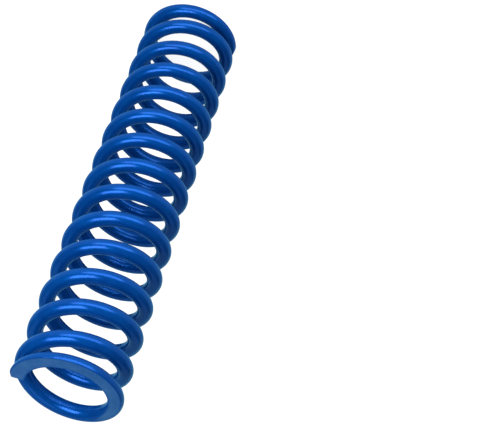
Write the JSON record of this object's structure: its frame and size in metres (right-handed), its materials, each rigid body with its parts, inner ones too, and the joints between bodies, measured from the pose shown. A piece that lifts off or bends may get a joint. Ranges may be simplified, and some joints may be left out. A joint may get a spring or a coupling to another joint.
{
  "type": "coilover spring",
  "caption": "Right-hand helical compression spring of round wire, coated gloss blue, with closed ends ground flat, that fits round a damper between two spring perches.",
  "frame": {"origin": "middle of the lower ground end, on the coil's axis", "axes": "+Z along the coil's axis, towards the upper ground end; +X through the tip of the wire at the lower end"},
  "size_m": [0.0892, 0.0892, 0.4064],
  "materials": {
    "blue_coat": "gloss"
  },
  "bodies": {
    "root": {"coil_spring": "blue_coat"}
  },
  "joints": []
}
